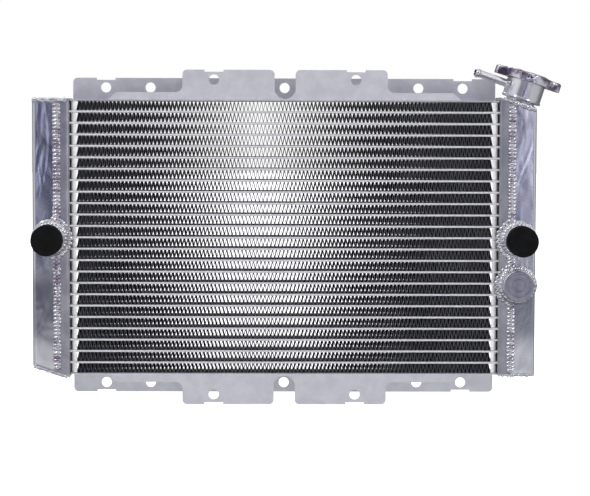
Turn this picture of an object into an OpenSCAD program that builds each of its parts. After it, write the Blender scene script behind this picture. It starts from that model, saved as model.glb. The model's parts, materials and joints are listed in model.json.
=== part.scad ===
// Aluminium crossflow radiator: brazed tube-and-fin core, folded side channels, two welded
// tanks, hose necks with rubber caps, a fan-switch boss with its plug, and a tilted filler
// neck with a sprung pressure cap.
//
// +X is to the right seen from the front, +Y to the rear, +Z up. The origin is the centre of
// the four outer mounting holes, on the rear face of the rear flanges.

/* [Core] */
// Flat coolant tubes across the core, at most 23 for 60 files
tube_count = 23; // [5:1:23]
// From one tube's centre to the next
tube_pitch = 10; // [8:0.5:12]
// Thickness of a tube, flat to flat
tube_thickness = 2; // [1.6:0.1:3]
// Depth of a tube, front to rear
tube_depth = 32; // [20:1:40]
// Wall of a tube
tube_wall = 0.35; // [0.2:0.05:0.6]
// Width of the fin block
fin_block_w = 364; // [200:2:370]
// Length of one full fold of the fin
fin_pitch = 3.4; // [2:0.1:6]
// Thickness of the fin's foil
fin_foil = 0.1; // [0.06:0.02:0.2]

/* [Side channels] */
// Length of a channel
channel_w = 375; // [300:1:376]
// Thickness of the channel's sheet
channel_sheet = 1.5; // [1:0.5:3]
// Depth over both flanges
channel_depth = 35; // [30:1:40]
// Height of the web's inner face above the core's centre
web_z = 119; // [110:0.5:125]
// Height of the rear flange's edge above the core's centre
rear_top_z = 140; // [130:0.5:150]
// Height of the low front lip's edge
lip_top_z = 127; // [122:0.5:130]
// Height of the tall front tabs' edge
tab_top_z = 146.7; // [140:0.1:150]
// Outer end of a tall tab
tab_outer_x = 89.5; // [70:0.5:110]
// Half the gap between the two tall tabs
tab_gap_r = 9.2; // [6:0.1:12]
// Radius of every mounting hole
hole_r = 4.5; // [3:0.1:6]
// Height of the rear holes above the core's centre
rear_hole_z = 131.5; // [125:0.5:135]
// Outer rear holes, from the middle
outer_hole_x = 158.4; // [140:0.1:170]
// Inner rear holes, from the middle
inner_hole_x = 119; // [100:0.5:130]
// Front tab holes, from the middle
tab_hole_x = 62; // [40:0.5:80]
// Height of the front tab holes
tab_hole_z = 138; // [130:0.5:140]
// Length and depth of the shallow relief in a flange's edge
relief = [16.5, 1.8]; // [1:0.1:20]

/* [Tanks] */
// Inner face of a header plate, from the middle
header_x = 188; // [150:1:200]
// Thickness of a header plate
header_sheet = 2; // [1.5:0.5:3]
// Seam between header and tank, from the middle
seam_x = 199; // [195:0.5:205]
// Outer face of a tank, from the middle
tank_x = 220.5; // [210:0.5:240]
// Thickness of the tank's sheet
tank_sheet = 2.5; // [1.5:0.5:4]
// How far a tank stands out before and behind the channels
tank_proud = 1.5; // [0:0.5:4]
// Outer radius of a tank's folded edges
tank_edge_r = 3.5; // [2:0.5:8]
// Height of a tank's square end above the core's centre
tank_flat_z = 121.5; // [115:0.5:125]
// Height of the slanted end at the seam
tank_slant_z = 120; // [115:0.5:125]
// Slope of the slanted end
slant = 18; // [0:1:30]

/* [Necks] */
// Hose necks, from the middle
neck_x = 205; // [200:0.5:210]
// Height of the hose necks
neck_z = -1; // [-40:1:40]
// Radius of a hose neck
neck_r = 12.5; // [10:0.5:16]
// Radius of a hose neck's bore
neck_bore_r = 11; // [8:0.5:14]
// Length of the hose neck outside the tank
neck_reach = 33.5; // [20:0.5:50]
// Bare length of the hose neck between its weld and the rubber cap
neck_bare = 18.4; // [10:0.1:30]
// Outer radius of a rubber cap
rubber_r = 13.5; // [12:0.1:16]
// Centre of the fan-switch boss, X and Z
boss_xz = [204.5, -41]; // [-100:0.5:220]
// Outer radius of the fan-switch boss
boss_r = 13.75; // [12:0.25:16]
// Height of the fan-switch boss
boss_reach = 12; // [8:1:16]
// Radius of the thread's bore in the boss
thread_r = 8.25; // [6:0.25:10]
// Radius of the plug's disc
plug_r = 13; // [11:0.5:15]

/* [Filler neck and cap] */
// Middle of the filler neck's foot along X
filler_x = 206.8; // [200:0.1:210]
// Outer radius of the filler neck's cup
cup_r = 17; // [15:0.5:20]
// Top of the filler neck's flange above its foot
flange_w = 25.5; // [20:0.5:30]
// Outer radius of the filler neck's flange
flange_r = 20.5; // [19:0.5:23]
// Outer radius of the cap's shell
shell_r = 22; // [21:0.5:26]
// Outer radius over the cap's two ears
ear_r = 29.75; // [26:0.25:34]
// Radius of the overflow nipple
nipple_r = 3.4; // [3:0.1:5]
// Swing of the overflow nipple towards the front
nipple_swing = 20; // [0:5:90]

/* [Output] */
// Node to draw, or all

/* [Hidden] */
$fn = 96;
eps = 0.02;
clear = 0.05;

depth_mid_y = -channel_depth / 2;
tank_front_y = -channel_depth - tank_proud;
tank_rear_y = tank_proud;
tank_depth = tank_rear_y - tank_front_y;
fin_h = tube_pitch - tube_thickness - 2 * eps;
fin_folds = 2 * floor(fin_block_w / fin_pitch);
half_rows = ceil((tube_count + 1) / 2);
tube_half_w = header_x + header_sheet + 3;
neck_weld_h = 3;
neck_root_r = neck_r - 0.3;
nipple_root_r = nipple_r - 0.4;
nipple_bare = 30.5;
cup_w = 4;
ear_drop = 7.8;
neck_weld_r = neck_r + 4.3;
boss_weld_r = boss_r + 3.6;
bare_from_y = tank_front_y - neck_weld_h - 0.1;
bare_to_y = bare_from_y - neck_bare;
neck_tip_y = tank_front_y - neck_reach;
filler_z = tank_slant_z - (filler_x - seam_x) * tan(slant);
shell_sheet = 1;
shell_top_w = flange_w + 2.8;
lug_half = 10;
notch_half = 13;
ramp = atan(0.1);

aluminium = [0.80, 0.81, 0.83];
sheet_metal = [0.72, 0.73, 0.74];
foil = [0.55, 0.56, 0.58];
weld = [0.86, 0.86, 0.87];
rubber = [0.05, 0.05, 0.05];
steel = [0.62, 0.60, 0.66];
spring_steel = [0.5, 0.5, 0.52];
translucent = [0.62, 0.63, 0.62];

function two_digits(i) = str(i < 10 ? "0" : "", i);
function tube_name(i) = str("tube_", two_digits(i));
function tube_z(i) = (i - (tube_count + 1) / 2) * tube_pitch;

// ---------------------------------------------------------------- shared shapes

// Extrudes an outline drawn in X and Z, from y0 towards the rear.
module along_y(y0, length)
    translate([0, y0 + length, 0])
        rotate([90, 0, 0])
            linear_extrude(length)
                children();

// Extrudes an outline drawn in Y and Z, centred on the middle.
module along_x(length)
    translate([-length / 2, 0, 0])
        rotate([90, 0, 90])
            linear_extrude(length)
                children();

// A cylinder from y0 to y1 (towards the front) at x, z.
module rod_y(x, z, r, y0, y1)
    translate([x, y0, z])
        rotate([90, 0, 0])
            cylinder(r = r, h = y0 - y1);

// A rectangle whose upper two corners are round.
module round_top(x0, x1, z0, z1, r) {
    translate([x0, z0])
        square([x1 - x0, z1 - z0 - r]);
    translate([x0 + r, z0])
        square([x1 - x0 - 2 * r, z1 - z0]);
    for (x = [x0 + r, x1 - r])
        translate([x, z1 - r])
            circle(r);
}

// What a square corner at the origin, filling +X +Y, loses to a round of radius r.
module corner_waste(r)
    difference() {
        translate([-1, -1])
            square(r + 1);
        translate([r, r])
            circle(r);
    }

// A ring swept round Z from an [r, z] outline.
module lathe(outline)
    rotate_extrude()
        polygon(outline);

// Cross-section of a weld bead lying on the line y = 0, standing up to height.
module bead_section(width, height) {
    r = (width * width / 4 + height * height) / (2 * height);
    intersection() {
        translate([0, height - r])
            circle(r);
        translate([-width, 0])
            square([2 * width, height + 1]);
    }
}

// A coil spring round Z as one swept tube.
module coil(radius, wire_r, z0, z1, turns) {
    sides = 6;
    steps = 16 * turns;
    rise = z1 - z0 - 2 * wire_r;
    points = [
        for (i = [0 : steps])
            for (j = [0 : sides - 1])
                let (turn = 360 * turns * i / steps, a = 360 * j / sides, r = radius + wire_r * cos(a))
                    [r * cos(turn), r * sin(turn), z0 + wire_r + rise * i / steps + wire_r * sin(a)]
    ];
    skin = [
        for (i = [0 : steps - 1])
            for (j = [0 : sides - 1])
                let (k = (j + 1) % sides)
                    [i * sides + j, (i + 1) * sides + j, (i + 1) * sides + k, i * sides + k]
    ];
    start = [for (j = [0 : sides - 1]) j];
    end = [for (j = [0 : sides - 1]) (steps + 1) * sides - 1 - j];
    polyhedron(points, concat(skin, [start, end]), convexity = 10);
}

// ---------------------------------------------------------------- core

module tube_section(grow) {
    r = tube_thickness / 2 + grow;
    flat = tube_depth - tube_thickness;
    translate([depth_mid_y - flat / 2, -r])
        square([flat, 2 * r]);
    for (side = [-1, 1])
        translate([depth_mid_y + side * flat / 2, 0])
            circle(r);
}

module tube(i)
    color(aluminium)
        translate([0, 0, tube_z(i)])
            along_x(2 * tube_half_w)
                difference() {
                    tube_section(0);
                    tube_section(-tube_wall);
                }

// One row of folded foil: the upper line of the zigzag, then the lower one back.
module fin_row() {
    fold_w = fin_block_w / fin_folds;
    rise = fin_foil * sqrt(1 + pow(fin_h / fold_w, 2));
    low = -fin_h / 2;
    high = fin_h / 2 - rise;
    line = [for (i = [0 : fin_folds]) [i * fold_w - fin_block_w / 2, i % 2 == 0 ? low : high]];
    back = [for (i = [fin_folds : -1 : 0]) line[i] + [0, rise]];
    along_y(depth_mid_y - tube_depth / 2, tube_depth)
        polygon(concat(line, back));
}

// Rows of fin, counted from the one below tube 1.
module core_fins(from_row, to_row)
    color(foil)
        for (i = [from_row : to_row])
            translate([0, 0, tube_z(i) + tube_pitch / 2])
                fin_row();

// ---------------------------------------------------------------- side channels

// Web and both flanges, seen along X, with round bends.
module channel_section() {
    s = channel_sheet;
    bend = 2 * s;
    difference() {
        translate([-channel_depth, web_z])
            square([channel_depth, tab_top_z - web_z]);
        translate([s - channel_depth, web_z + s])
            square([channel_depth - 2 * s, tab_top_z]);
        translate([-channel_depth, web_z])
            corner_waste(bend);
        translate([0, web_z])
            mirror([1, 0])
                corner_waste(bend);
    }
}

// Outline of the front flange: a low lip with slanted ends, and two tall tabs.
module front_outline() {
    fillet = 6;
    difference() {
        union() {
            polygon([[-156.5, web_z], [156.5, web_z], [147, lip_top_z], [-147, lip_top_z]]);
            for (side = [0, 1])
                mirror([side, 0]) {
                    round_top(tab_gap_r, tab_outer_x, web_z, tab_top_z, 4);
                    translate([tab_outer_x, lip_top_z])
                        difference() {
                            translate([-1, -1])
                                square(fillet + 1);
                            translate([fillet, fillet])
                                circle(fillet);
                        }
                }
        }
        translate([0, web_z + 2.5 + tab_gap_r])
            circle(tab_gap_r);
        translate([-tab_gap_r, web_z + 2.5 + tab_gap_r])
            square([2 * tab_gap_r, 40]);
        for (side = [-1, 1])
            translate([side * tab_hole_x - relief[0] / 2, tab_top_z - relief[1]])
                square(relief + [0, 1]);
    }
}

module rear_outline()
    difference() {
        round_top(-channel_w / 2, channel_w / 2, web_z, rear_top_z, 4);
        for (side = [-1, 1])
            translate([side * outer_hole_x - relief[0] / 2, rear_top_z - relief[1]])
                square(relief + [0, 1]);
    }

module top_channel()
    difference() {
        along_x(channel_w)
            channel_section();
        along_y(-channel_depth - 1, channel_depth / 2)
            difference() {
                translate([-channel_w, web_z + channel_sheet])
                    square([2 * channel_w, 60]);
                front_outline();
            }
        along_y(-channel_depth / 2, channel_depth)
            difference() {
                translate([-channel_w, web_z + channel_sheet])
                    square([2 * channel_w, 60]);
                rear_outline();
            }
        for (x = [-outer_hole_x, -inner_hole_x, 0, inner_hole_x, outer_hole_x])
            rod_y(x, rear_hole_z, hole_r, 5, -10);
        for (side = [-1, 1])
            rod_y(side * tab_hole_x, tab_hole_z, hole_r, -channel_depth + 5, -channel_depth - 5);
    }

module top_side_channel()
    color(sheet_metal)
        top_channel();

module bottom_side_channel()
    color(sheet_metal)
        mirror([0, 0, 1])
            top_channel();

// ---------------------------------------------------------------- header plates and tanks
// Each is drawn for the right side. The left side is the same turned half round about Y,
// so its slanted end is at the bottom.

module on_left()
    rotate([0, 180, 0])
        children();

// Plan of a whole tank with its header, in X and Y.
module tank_plan(inset) {
    r = max(tank_edge_r - inset, 0.5);
    x1 = tank_x - inset;
    y0 = tank_front_y + inset;
    y1 = tank_rear_y - inset;
    difference() {
        translate([header_x, y0])
            square([x1 - header_x, y1 - y0]);
        translate([x1, y0])
            mirror([1, 0])
                corner_waste(r);
        translate([x1, y1])
            mirror([1, 0])
                mirror([0, 1])
                    corner_waste(r);
    }
}

// The space above the slanted end's face, moved by shift along the face's normal.
module above_slant(shift)
    translate([seam_x, -60, tank_slant_z])
        rotate([0, slant, 0])
            translate([-40, 0, shift])
                cube([100, 120, 60]);

// The space below the square end's face, moved inwards by shift.
module below_flat(shift)
    translate([header_x - 10, -60, -tank_flat_z + shift - 60])
        cube([60, 120, 60]);

module tank_block(inset = 0)
    translate([0, 0, -tank_flat_z - 5])
        linear_extrude(2 * tank_flat_z + 20)
            tank_plan(inset);

// Openings for a hose neck at height z and, on the right, the fan-switch boss.
module neck_holes(z, with_boss) {
    rod_y(neck_x, z, neck_root_r + clear, -channel_depth / 2, tank_front_y - 5);
    if (with_boss)
        rod_y(boss_xz[0], boss_xz[1], boss_r + clear, -channel_depth / 2, tank_front_y - 5);
}

module tank_body(z, with_boss)
    difference() {
        tank_block();
        translate([0, 0, -1])
            tank_block(tank_sheet);
        translate([header_x - 5, -60, -160])
            cube([seam_x - header_x + 5, 120, 320]);
        above_slant(-tank_sheet);
        below_flat(tank_sheet);
        neck_holes(z, with_boss);
    }

module header_body(z, with_boss) {
    s = header_sheet;
    bend = 3;
    difference() {
        translate([0, 0, -150])
            linear_extrude(300)
                difference() {
                    translate([header_x, tank_front_y])
                        square([seam_x - header_x, tank_depth]);
                    translate([header_x + s, tank_front_y + s])
                        square([seam_x, tank_depth - 2 * s]);
                    translate([header_x, tank_front_y])
                        corner_waste(bend);
                    translate([header_x, tank_rear_y])
                        mirror([0, 1])
                            corner_waste(bend);
                }
        for (i = [1 : tube_count])
            translate([header_x + s / 2, 0, tube_z(i)])
                along_x(3 * s)
                    tube_section(clear);
        above_slant(-tank_sheet);
        below_flat(tank_sheet);
        neck_holes(z, with_boss);
    }
}

module slanted_end(with_neck)
    difference() {
        tank_block();
        translate([header_x - 5, -60, -200])
            cube([60, 120, 200]);
        difference() {
            translate([header_x - 5, -60, 0])
                cube([60, 120, 200]);
            above_slant(-tank_sheet);
        }
        above_slant(0);
        if (with_neck)
            on_filler()
                translate([0, 0, -10])
                    cylinder(r = neck_r + clear, h = 20);
    }

module square_end()
    intersection() {
        translate([0, 0, -tank_flat_z])
            linear_extrude(tank_sheet)
                tank_plan(0);
    }

module right_header_plate()
    color(sheet_metal)
        header_body(neck_z, true);

module left_header_plate()
    color(sheet_metal)
        on_left()
            header_body(-neck_z, false);

module right_tank()
    color(aluminium)
        tank_body(neck_z, true);

module left_tank()
    color(aluminium)
        on_left()
            tank_body(-neck_z, false);

module right_top_end_plate()
    color(aluminium)
        slanted_end(true);

module right_bottom_end_plate()
    color(aluminium)
        square_end();

module left_bottom_end_plate()
    color(aluminium)
        on_left()
            slanted_end(false);

module left_top_end_plate()
    color(aluminium)
        on_left()
            square_end();

// Puts a bead, drawn standing on Z = 0 and running along X, on the front or rear face.
module on_face(front)
    translate([0, front ? tank_front_y - eps : tank_rear_y + eps, 0])
        rotate([front ? 90 : -90, 0, 0])
            children();

// A straight bead along X from x0 to x1, standing on Z = 0.
module bead(x0, x1, size)
    translate([x0, 0, 0])
        rotate([90, 0, 90])
            linear_extrude(x1 - x0)
                bead_section(size[0], size[1]);

// The bead down the seam, left out round the hose neck and, on the right, the boss.
module seam_beads(z, with_boss) {
    size = [8.4, 1.1];
    low = -tank_flat_z + 1;
    high = tank_slant_z - 2;
    for (front = [true, false])
        difference() {
            translate([seam_x, 0, 0])
                on_face(front)
                    rotate([0, 0, front ? 90 : -90])
                        bead(low, high, size);
            if (front)
                rod_y(neck_x, z, neck_weld_r + 0.5, 0, tank_front_y - 5);
            if (front && with_boss)
                rod_y(boss_xz[0], boss_xz[1], boss_weld_r + 0.5, 0, tank_front_y - 5);
        }
}

// Beads along an end plate's joint, which crosses the seam at height z and tilts down outwards.
module end_beads(z, tilt) {
    size = [4, 0.8];
    from = 7;
    reach = (tank_x - seam_x) / cos(tilt) - tank_edge_r;
    for (front = [true, false])
        translate([seam_x, 0, z])
            rotate([0, tilt, 0])
                on_face(front)
                    bead(from, reach, size);
    translate([tank_x + eps, depth_mid_y - 15, z - (tank_x - seam_x) * tan(tilt)])
        rotate([0, 90, 0])
            rotate([0, 0, 90])
                bead(0, 30, size);
}

module tank_weld_beads(z, with_boss) {
    seam_beads(z, with_boss);
    end_beads(-tank_flat_z + tank_sheet, 0);
    end_beads(tank_slant_z - tank_sheet / cos(slant), slant);
}

module right_tank_welds()
    color(weld)
        tank_weld_beads(neck_z, true);

module left_tank_welds()
    color(weld)
        on_left()
            tank_weld_beads(-neck_z, false);

// ---------------------------------------------------------------- hose necks and their caps

module hose_neck(side)
    color(aluminium)
        difference() {
            union() {
                rod_y(side * neck_x, neck_z, neck_root_r, tank_front_y + tank_sheet, bare_from_y);
                rod_y(side * neck_x, neck_z, neck_r, bare_from_y, bare_to_y);
                rod_y(side * neck_x, neck_z, neck_r - 0.2, bare_to_y, neck_tip_y);
            }
            rod_y(side * neck_x, neck_z, neck_bore_r, 0, neck_tip_y - 1);
        }

// A ring of weld round a neck or boss, trimmed where the tank's outer edge turns.
module ring_weld(x, z, r, outer_r, height)
    color(weld)
        intersection() {
            translate([x, tank_front_y, z])
                rotate([90, 0, 0])
                    lathe([[r + eps, 0], [outer_r, 0], [outer_r - 0.6, 1.3], [r + 1.6, height], [r + eps, height]]);
            translate([-tank_x + 0.4, tank_front_y - 20, -100])
                cube([2 * tank_x - 0.8, 40, 200]);
        }

module hose_neck_weld(side)
    ring_weld(side * neck_x, neck_z, neck_root_r, neck_weld_r, neck_weld_h);

// Rubber cap: a cup over the neck's end, with a rounded closed end.
module hose_cap(side) {
    closed_y = neck_tip_y - 4;
    length = bare_to_y - closed_y;
    bore = neck_r + 0.3;
    color(rubber)
        translate([side * neck_x, bare_to_y, neck_z])
            rotate([90, 0, 0])
                rotate_extrude()
                    difference() {
                        square([rubber_r, length]);
                        translate([-1, -1])
                            square([bore + 1, length - 2.5 + 1]);
                        translate([rubber_r, length])
                            rotate(180)
                                corner_waste(1.5);
                        translate([rubber_r, 0])
                            mirror([1, 0])
                                corner_waste(0.5);
                    }
}

// ---------------------------------------------------------------- fan-switch boss and plug

module at_boss(y)
    translate([boss_xz[0], y, boss_xz[1]])
        rotate([90, 0, 0])
            children();

module fan_switch_boss() {
    inside = tank_sheet;
    top = boss_reach;
    seat_r = 10.5;
    seat_d = 4;
    color(aluminium)
        at_boss(tank_front_y)
            lathe([
                [thread_r, 1 - inside], [thread_r + 1, -inside], [boss_r, -inside],
                [boss_r, top - 0.8], [boss_r - 0.8, top], [seat_r, top],
                [seat_r, top - seat_d], [thread_r, top - seat_d]
            ]);
}

module fan_switch_boss_weld()
    ring_weld(boss_xz[0], boss_xz[1], boss_r, boss_weld_r, 2.4);

// Soft plug: disc with two raised rings, a hollow stem in the boss's seat and a pull tab.
module fan_switch_plug()
    color(translucent)
        at_boss(tank_front_y - boss_reach - clear) {
            lathe([
                [0, 0], [9.2, 0], [9.2, -3.4], [10.3, -3.4], [10.3, 0], [plug_r, 0],
                [plug_r, 1.4], [10.8, 1.4], [10.8, 2], [9.6, 2], [9.6, 1.4], [6, 1.4],
                [6, 1.9], [5.2, 1.9], [5.2, 1.4], [0, 1.4]
            ]);
            difference() {
                union() {
                    translate([10, -3.5, 0.2])
                        cube([3.5, 7, 1]);
                    translate([12.3, 0, 0.2])
                        cylinder(r = 3.5, h = 1);
                }
                translate([0, 0, -1])
                    cylinder(r = plug_r - 0.5, h = 1.2);
            }
        }

// ---------------------------------------------------------------- filler neck

// The filler neck's own frame: its axis is +Z, its foot on the slanted end's face.
module on_filler()
    translate([filler_x, depth_mid_y, filler_z])
        rotate([0, slant, 0])
            children();

// A pie slice round an angle, to cut a ring with.
module slice(angle, half, r, z0, z1)
    rotate([0, 0, angle])
        translate([0, 0, z0])
            linear_extrude(z1 - z0)
                polygon([[0, 0], [r, -r * tan(half)], [r, r * tan(half)]]);

// The flange's turned-down skirt. Its lower edge is the ramp that the cap's lugs ride on.
module cam_skirt()
    difference() {
        lathe([
            [flange_r - 1.5, 20], [flange_r, 20], [flange_r, flange_w], [flange_r - 1.5, flange_w]
        ]);
        for (turn = [0, 180])
            rotate([0, 0, turn])
                translate([0, 0, 22.07])
                    rotate([0, ramp, 0])
                        translate([-40, 0, -10])
                            cube([80, 40, 10]);
    }

module filler_neck()
    color(aluminium)
        on_filler()
            difference() {
                union() {
                    lathe([
                        [10.5, -4], [neck_r, -4], [neck_r, cup_w], [cup_r + 0.6, cup_w],
                        [cup_r + 0.6, cup_w + 1.8], [cup_r, cup_w + 1.8], [cup_r, flange_w - 1.5],
                        [flange_r - 1, flange_w - 1.5], [flange_r - 1, flange_w],
                        [cup_r - 1.75, flange_w], [cup_r - 1.75, cup_w + 1.8],
                        [12.2, cup_w + 1.8], [12.2, 10], [10.5, 10]
                    ]);
                    cam_skirt();
                }
                for (turn = [0, 180])
                    difference() {
                        slice(turn, notch_half, 30, 19, 30);
                        translate([0, 0, 18])
                            cylinder(r = flange_r - 2, h = 14);
                    }
                nipple_axis()
                    translate([0, 0, 12])
                        cylinder(r = nipple_root_r + 0.02, h = 6);
            }

module filler_neck_weld()
    color(weld)
        on_filler()
            lathe([[neck_r + eps, 0], [neck_r + 3.4, 0], [neck_r + 2.8, 1], [neck_r + eps, 2.6]]);

// Overflow nipple's axis: out of the cup's wall, leftwards and swung to the front.
module nipple_axis()
    translate([0, 0, 14])
        rotate([0, 0, 180 + nipple_swing])
            rotate([0, 90, 0])
                children();

module overflow_nipple()
    color(aluminium)
        on_filler()
            nipple_axis()
                difference() {
                    union() {
                        translate([0, 0, 15])
                            cylinder(r = nipple_root_r, h = 3.2);
                        translate([0, 0, 18.2])
                            cylinder(r = nipple_r, h = nipple_bare);
                        translate([0, 0, 18.2 + nipple_bare])
                            lathe([
                                [0, 0], [nipple_r, 0], [nipple_r + 0.2, 0.4], [nipple_r + 0.2, 1.3],
                                [nipple_r - 0.4, 2], [0, 2]
                            ]);
                    }
                    translate([0, 0, 10])
                        cylinder(r = nipple_r - 1.2, h = 50);
                }

// ---------------------------------------------------------------- pressure cap

module cap_ear()
    difference() {
        translate([0, 0, shell_top_w - ear_drop])
            linear_extrude(ear_drop)
                difference() {
                    polygon([
                        [shell_r - 1.6, -8], [ear_r - 3, -6.2], [ear_r, -4.6],
                        [ear_r, 4.6], [ear_r - 3, 6.2], [shell_r - 1.6, 8]
                    ]);
                    circle(shell_r - shell_sheet);
                }
        translate([shell_r, -3.6, shell_top_w - ear_drop - 0.4])
            cube([ear_r - shell_r - 1.2, 7.2, ear_drop - 0.8]);
    }

module cap_shell() {
    top = shell_top_w;
    inner = shell_r - shell_sheet;
    color(steel)
        on_filler() {
            lathe([
                [2.5, top - 1.2], [inner, top - 1.2], [inner, 20.8], [shell_r, 20.8],
                [shell_r, top - 1], [shell_r - 1, top], [17.5, top], [16.5, top + 1],
                [10, top + 1], [9, top], [2.5, top]
            ]);
            for (turn = [0, 180])
                rotate([0, 0, turn])
                    cap_ear();
            for (turn = [90, 270])
                intersection() {
                    lathe([[18.8, 20.4], [shell_r, 20.4], [shell_r, 21.6], [18.8, 21.6]]);
                    slice(turn, lug_half, 30, 20, 23);
                }
        }
}

module cap_rivet()
    color(steel)
        on_filler()
            lathe([
                [0, 24.8], [3.2, 24.8], [3.5, 25.6], [2.4, 25.6], [2.4, shell_top_w + clear],
                [3.6, shell_top_w + clear], [3.2, shell_top_w + 1], [2, shell_top_w + 1.5],
                [0, shell_top_w + 1.5]
            ]);

module cap_spring_disc()
    color(spring_steel)
        on_filler()
            lathe([[2.45, 26.7], [20.4, 26.7], [20.4, 27.05], [2.45, 27.05]]);

module cap_gasket()
    color(rubber)
        on_filler()
            lathe([[15, flange_w + eps], [20, flange_w + eps], [20, 26.68], [15, 26.68]]);

module cap_spring_bell()
    color(spring_steel)
        on_filler()
            lathe([
                [2.45, 25.65], [7.5, 25.65], [7.5, 16.5], [8.3, 16.5], [8.3, 26.68], [2.45, 26.68]
            ]);

module cap_pressure_spring()
    color(spring_steel)
        on_filler()
            coil(11, 0.8, 13.02, 26.66, 5);

module cap_pressure_valve()
    color(spring_steel)
        on_filler()
            lathe([[2.5, 12], [13, 12], [13, 13], [7, 13], [7, 20], [6.2, 20], [6.2, 13], [2.5, 13]]);

module cap_main_seal()
    color(rubber)
        on_filler()
            lathe([[6, 10 + eps], [13.6, 10 + eps], [13.6, 12 - eps], [6, 12 - eps]]);

module cap_vacuum_valve()
    color([0.75, 0.62, 0.3])
        on_filler()
            lathe([
                [0, 9], [8, 9], [8, 10], [5.8, 10], [1.6, 10.6], [1.6, 16.5], [4, 16.5],
                [4, 17.3], [0, 17.3]
            ]);

module cap_vacuum_spring()
    color(spring_steel)
        on_filler()
            coil(3.3, 0.35, 13.02, 16.48, 3);

// ---------------------------------------------------------------- nodes

for (i = [1 : tube_count])
    tube(i);
core_fins(half_rows, tube_count);  // core_fins_upper
core_fins(0, half_rows - 1);  // core_fins_lower
top_side_channel();
bottom_side_channel();
left_header_plate();
right_header_plate();
left_tank();
right_tank();
left_top_end_plate();
left_bottom_end_plate();
right_top_end_plate();
right_bottom_end_plate();
left_tank_welds();
right_tank_welds();
hose_neck(-1);  // left_hose_neck
hose_neck(1);  // right_hose_neck
hose_neck_weld(-1);  // left_hose_neck_weld
hose_neck_weld(1);  // right_hose_neck_weld
hose_cap(-1);  // left_hose_cap
hose_cap(1);  // right_hose_cap
fan_switch_boss();
fan_switch_boss_weld();
fan_switch_plug();
filler_neck();
filler_neck_weld();
overflow_nipple();
cap_shell();
cap_rivet();
cap_spring_disc();
cap_gasket();
cap_spring_bell();
cap_pressure_spring();
cap_pressure_valve();
cap_main_seal();
cap_vacuum_valve();
cap_vacuum_spring();
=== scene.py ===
"""Looks for an aluminium crossflow radiator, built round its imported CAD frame.

Everything is in metres in the frame of the part: +X right, +Y to the rear, +Z up.
"""
import json
import math
import random

import bpy
from mathutils import Matrix, Vector


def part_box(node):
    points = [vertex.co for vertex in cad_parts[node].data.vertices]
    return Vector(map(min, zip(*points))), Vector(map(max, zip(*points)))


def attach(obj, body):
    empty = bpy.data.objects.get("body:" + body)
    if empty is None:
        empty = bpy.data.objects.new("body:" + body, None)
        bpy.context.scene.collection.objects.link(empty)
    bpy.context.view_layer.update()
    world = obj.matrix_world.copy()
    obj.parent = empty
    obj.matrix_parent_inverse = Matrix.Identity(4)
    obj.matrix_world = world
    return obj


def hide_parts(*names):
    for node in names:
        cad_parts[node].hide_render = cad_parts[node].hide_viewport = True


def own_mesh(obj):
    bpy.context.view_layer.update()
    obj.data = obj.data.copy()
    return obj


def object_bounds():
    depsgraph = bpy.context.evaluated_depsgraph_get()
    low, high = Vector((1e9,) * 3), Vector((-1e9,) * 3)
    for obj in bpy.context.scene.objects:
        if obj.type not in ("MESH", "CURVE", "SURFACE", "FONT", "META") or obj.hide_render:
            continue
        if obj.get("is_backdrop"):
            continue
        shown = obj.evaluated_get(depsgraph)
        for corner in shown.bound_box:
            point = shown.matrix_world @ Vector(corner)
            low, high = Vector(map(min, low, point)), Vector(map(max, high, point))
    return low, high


MM = 0.001
NECK_X = 205.0      # the hose necks' axes, from the middle
BOSS_X = 204.5      # the fan-switch boss's axis
SEAM_X = 199.0      # where the header plates meet the tanks
SLANT = 18          # degrees that the two slanted tank ends lean
SEAM_PITCH = 3.3    # from one ripple of a seam to the next
CAP_TOP = 28.3      # the cap's rim above the filler neck's foot
EAR_DROP = 7.8      # how far the cap's ears are folded down

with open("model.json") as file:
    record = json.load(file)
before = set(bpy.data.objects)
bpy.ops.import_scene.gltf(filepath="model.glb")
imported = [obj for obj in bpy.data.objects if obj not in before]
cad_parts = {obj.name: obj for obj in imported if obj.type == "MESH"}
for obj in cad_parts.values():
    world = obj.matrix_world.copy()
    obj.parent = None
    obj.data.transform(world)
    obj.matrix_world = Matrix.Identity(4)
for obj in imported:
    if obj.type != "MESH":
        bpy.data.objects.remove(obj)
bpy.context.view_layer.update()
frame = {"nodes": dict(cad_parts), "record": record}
nodes = frame["nodes"]
scene = bpy.context.scene


# ---------------------------------------------------------------- working on objects

def deselect():
    bpy.ops.object.select_all(action="DESELECT")


def work_on(piece):
    """Makes a piece the only one that operators act on."""
    deselect()
    piece.select_set(True)
    bpy.context.view_layer.objects.active = piece


def apply_place(piece):
    work_on(piece)
    bpy.ops.object.transform_apply(location=True, rotation=True, scale=True)


def edit(piece):
    work_on(piece)
    bpy.ops.object.mode_set(mode="EDIT")
    bpy.ops.mesh.select_all(action="SELECT")


def leave_edit():
    bpy.ops.object.mode_set(mode="OBJECT")


def pick(piece, kind, test):
    """In edit mode, selects only the vertices or faces that pass a test of place and normal."""
    bpy.ops.mesh.select_mode(type=kind)
    bpy.ops.mesh.select_all(action="DESELECT")
    leave_edit()
    for part in (piece.data.vertices if kind == "VERT" else piece.data.polygons):
        part.select = test(part.co if kind == "VERT" else part.center, part.normal)
    bpy.ops.object.mode_set(mode="EDIT")


def modify(piece, kind, **settings):
    """Adds a modifier and applies it."""
    work_on(piece)
    modifier = piece.modifiers.new(kind.title(), kind)
    for name, value in settings.items():
        setattr(modifier, name, value)
    bpy.ops.object.modifier_apply(modifier=modifier.name)


def smooth(piece, angle=35):
    work_on(piece)
    bpy.ops.object.shade_smooth_by_angle(angle=math.radians(angle))


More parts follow.
